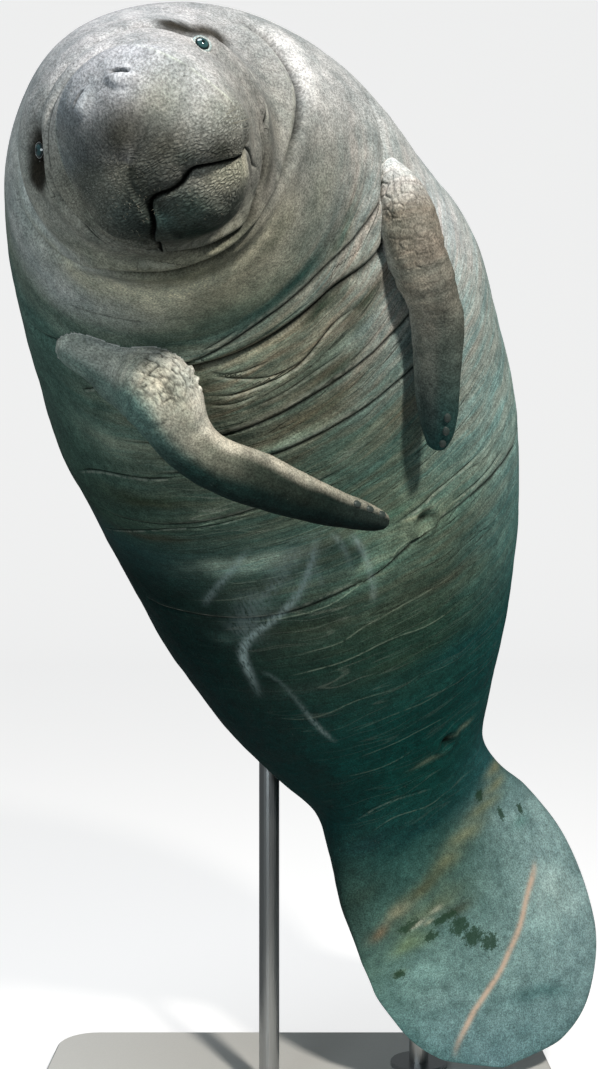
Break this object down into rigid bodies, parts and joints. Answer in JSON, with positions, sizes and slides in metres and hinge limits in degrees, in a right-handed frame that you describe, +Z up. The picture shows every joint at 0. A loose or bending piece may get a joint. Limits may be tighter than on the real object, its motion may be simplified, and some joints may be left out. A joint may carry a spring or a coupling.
{
  "type": "manatee display model",
  "caption": "Life-size still manatee, upright and curled forward with its paddle tail hanging, held by rods on a flat base.",
  "frame": {"origin": "centre of the stand base's underside", "axes": "+Z up; -Y towards the muzzle and the viewer; +X towards the side on which the tail hangs, square to both"},
  "size_m": [1.2031, 1.7362, 2.0196],
  "materials": {
    "skin": "painted resin skin, olive grey, satin",
    "nail": "horn-coloured resin, satin",
    "eye": "dark glossy ball",
    "base": "plain pale grey, satin",
    "rod": "brushed"
  },
  "bodies": {
    "root": {"head": "skin", "neck": "skin", "chest": "skin", "belly": "skin", "loin": "skin", "tail_stock": "skin", "tail_paddle": "skin", "flipper_right": "skin", "flipper_left": "skin", "nail_right_1": "nail", "nail_right_2": "nail", "nail_right_3": "nail", "nail_left_1": "nail", "nail_left_2": "nail", "nail_left_3": "nail", "eye_left": "eye", "eye_right": "eye", "stand_base": "base", "stand_rod_flank": "rod", "stand_rod_stock": "rod"}
  },
  "joints": []
}
